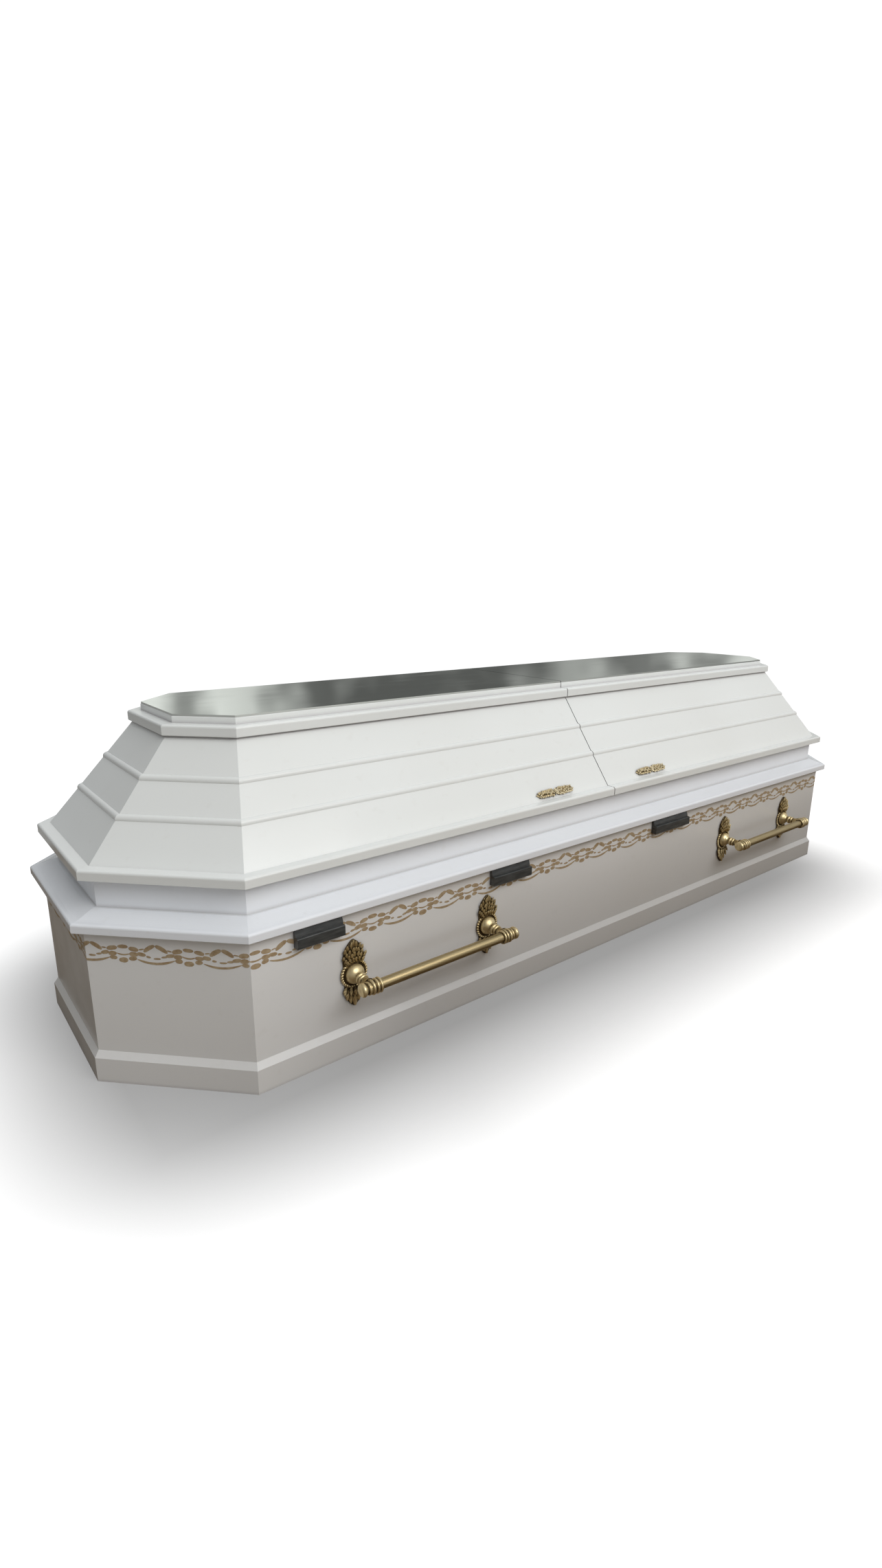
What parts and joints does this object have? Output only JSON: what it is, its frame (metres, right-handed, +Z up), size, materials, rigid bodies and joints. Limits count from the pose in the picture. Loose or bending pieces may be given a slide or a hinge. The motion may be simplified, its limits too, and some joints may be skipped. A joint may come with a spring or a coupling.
{
  "type": "wooden coffin",
  "caption": "Eight-sided white lacquered coffin with a stepped, sloping lid in two parts, mirror top, moulded lip and plinth, brass bar handles and a painted gold border.",
  "frame": {"origin": "centre of the underside, on the ground", "axes": "+X along the coffin to the foot end, -Y to the front with its catches and leaf sprays, +Z up"},
  "size_m": [2.035, 0.751, 0.5335],
  "materials": {
    "white_lacquer": "fibreboard in white satin-gloss lacquer",
    "mirror_glass": "silvered glass sheet",
    "antique_brass": "antique brass plate, dark in the hollows",
    "gilt_brass": "pale gilt relief, dark in the hollows",
    "black_metal": "black semi-gloss enamel",
    "gold_paint": "ochre-gold stencil paint on the lacquer"
  },
  "bodies": {
    "root": {"floor_board": "white_lacquer", "plinth_moulding": "white_lacquer", "wall_board_foot": "white_lacquer", "wall_board_foot_back": "white_lacquer", "wall_board_back": "white_lacquer", "wall_board_head_back": "white_lacquer", "wall_board_head": "white_lacquer", "wall_board_head_front": "white_lacquer", "wall_board_front": "white_lacquer", "wall_board_foot_front": "white_lacquer", "lid_frame_foot": "white_lacquer", "lid_frame_foot_back": "white_lacquer", "lid_frame_back": "white_lacquer", "lid_frame_head_back": "white_lacquer", "lid_frame_head": "white_lacquer", "lid_frame_head_front": "white_lacquer", "lid_frame_front": "white_lacquer", "lid_frame_foot_front": "white_lacquer", "head_lid_rim_back": "white_lacquer", "head_lid_rim_head_back": "white_lacquer", "head_lid_rim_head": "white_lacquer", "head_lid_rim_head_front": "white_lacquer", "head_lid_rim_front": "white_lacquer", "foot_lid_rim_foot": "white_lacquer", "foot_lid_rim_foot_back": "white_lacquer", "foot_lid_rim_back": "white_lacquer", "foot_lid_rim_front": "white_lacquer", "foot_lid_rim_foot_front": "white_lacquer", "head_lid_slope_back": "white_lacquer", "head_lid_slope_head_back": "white_lacquer", "head_lid_slope_head": "white_lacquer", "head_lid_slope_head_front": "white_lacquer", "head_lid_slope_front": "white_lacquer", "foot_lid_slope_foot": "white_lacquer", "foot_lid_slope_foot_back": "white_lacquer", "foot_lid_slope_back": "white_lacquer", "foot_lid_slope_front": "white_lacquer", "foot_lid_slope_foot_front": "white_lacquer", "head_lid_top": "white_lacquer", "head_lid_mirror": "mirror_glass", "head_lid_ornament": "gilt_brass", "foot_lid_top": "white_lacquer", "foot_lid_mirror": "mirror_glass", "foot_lid_ornament": "gilt_brass", "closing_catch_head": "black_metal", "closing_catch_middle": "black_metal", "closing_catch_foot": "black_metal", "handle_bar_front_head": "antique_brass", "handle_bracket_front_head_inner": "antique_brass", "handle_bracket_front_head_outer": "antique_brass", "handle_bar_front_foot": "antique_brass", "handle_bracket_front_foot_inner": "antique_brass", "handle_bracket_front_foot_outer": "antique_brass", "handle_bar_back_head": "antique_brass", "handle_bracket_back_head_inner": "antique_brass", "handle_bracket_back_head_outer": "antique_brass", "handle_bar_back_foot": "antique_brass", "handle_bracket_back_foot_inner": "antique_brass", "handle_bracket_back_foot_outer": "antique_brass"}
  },
  "joints": []
}
